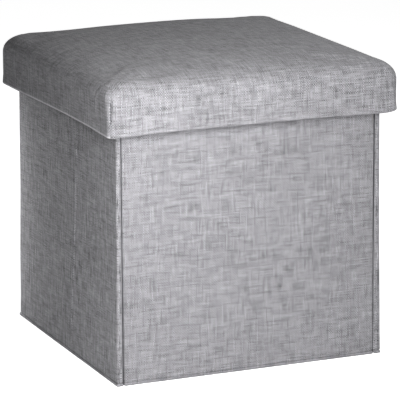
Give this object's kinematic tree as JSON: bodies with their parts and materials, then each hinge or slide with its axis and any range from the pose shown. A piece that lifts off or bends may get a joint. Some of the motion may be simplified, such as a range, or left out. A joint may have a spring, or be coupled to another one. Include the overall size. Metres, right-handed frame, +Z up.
{
  "type": "folding storage ottoman",
  "caption": "Cube storage ottoman covered in woven linen-look fabric: a lift-off padded lid with a deep skirt over a box that folds flat.",
  "frame": {"origin": "middle of the footprint, on the floor", "axes": "+Z up; the front wall faces -Y; the two side walls with the fold lines face -X and +X"},
  "size_m": [0.381, 0.381, 0.38],
  "materials": {
    "linen": "woven linen look, matt",
    "lining": "non-woven lining, matt",
    "seam": "stitched fabric, matt",
    "webbing": "woven tape, matt",
    "card": "solid board, matt",
    "fibreboard": "raw fibreboard, matt",
    "foam": "open-cell foam, matt"
  },
  "bodies": {
    "front_frame": {"front_wall_board": "card", "front_wall_cover": "linen", "front_wall_lining": "lining", "left_front_hinge_web": "seam", "right_front_hinge_web": "seam"},
    "lid": {"lid_cover": "linen", "lid_foam_pad": "foam", "lid_board": "fibreboard", "lid_front_stiffener": "card", "lid_back_stiffener": "card", "lid_left_stiffener": "card", "lid_right_stiffener": "card", "lid_lining": "lining"},
    "left_front_half": {"left_front_panel_cover": "linen", "left_front_panel_board": "card", "left_front_panel_lining": "lining", "left_front_edge_binding": "linen", "left_fold_seam": "seam"},
    "left_rear_half": {"left_rear_panel_cover": "linen", "left_rear_panel_board": "card", "left_rear_panel_lining": "lining", "left_rear_edge_binding": "linen"},
    "back_wall": {"back_wall_cover": "linen", "back_wall_board": "card", "back_wall_lining": "lining", "left_rear_hinge_web": "seam", "right_rear_hinge_web": "seam"},
    "right_front_half": {"right_front_panel_cover": "linen", "right_front_panel_board": "card", "right_front_panel_lining": "lining", "right_front_edge_binding": "linen", "right_fold_seam": "seam"},
    "right_rear_half": {"right_rear_panel_cover": "linen", "right_rear_panel_board": "card", "right_rear_panel_lining": "lining", "right_rear_edge_binding": "linen"},
    "base": {"base_board": "fibreboard", "base_lining": "lining", "base_pull_tab": "webbing"}
  },
  "joints": [
    {"name": "lid_lift", "type": "slide", "parent": "front_frame", "child": "lid", "axis": [0, 0, 1], "range_m": [0, 0.25]},
    {"name": "left_front_corner", "type": "hinge", "parent": "front_frame", "child": "left_front_half", "pos_m": [-0.1674, -0.1603, 0.18], "axis": [0, 0, -1], "range_deg": [0, 90]},
    {"name": "left_fold", "type": "hinge", "parent": "left_front_half", "child": "left_rear_half", "pos_m": [-0.1754, 0, 0.18], "axis": [0, 0, 1], "range_deg": [0, 180]},
    {"name": "left_back_corner", "type": "hinge", "parent": "left_rear_half", "child": "back_wall", "pos_m": [-0.1674, 0.1603, 0.18], "axis": [0, 0, -1], "range_deg": [0, 90]},
    {"name": "right_front_corner", "type": "hinge", "parent": "front_frame", "child": "right_front_half", "pos_m": [0.1674, -0.1603, 0.18], "axis": [0, 0, 1], "range_deg": [0, 90]},
    {"name": "right_fold", "type": "hinge", "parent": "right_front_half", "child": "right_rear_half", "pos_m": [0.1754, 0, 0.18], "axis": [0, 0, -1], "range_deg": [0, 180]},
    {"name": "base_hinge", "type": "hinge", "parent": "front_frame", "child": "base", "pos_m": [0, -0.1641, 0.0034], "axis": [1, 0, 0], "range_deg": [0, 90]}
  ],
  "couplings": [
    {"joint": "left_fold", "follows": "left_front_corner", "ratio": 2},
    {"joint": "left_back_corner", "follows": "left_front_corner", "ratio": 1},
    {"joint": "right_front_corner", "follows": "left_front_corner", "ratio": 1},
    {"joint": "right_fold", "follows": "left_front_corner", "ratio": 2}
  ]
}
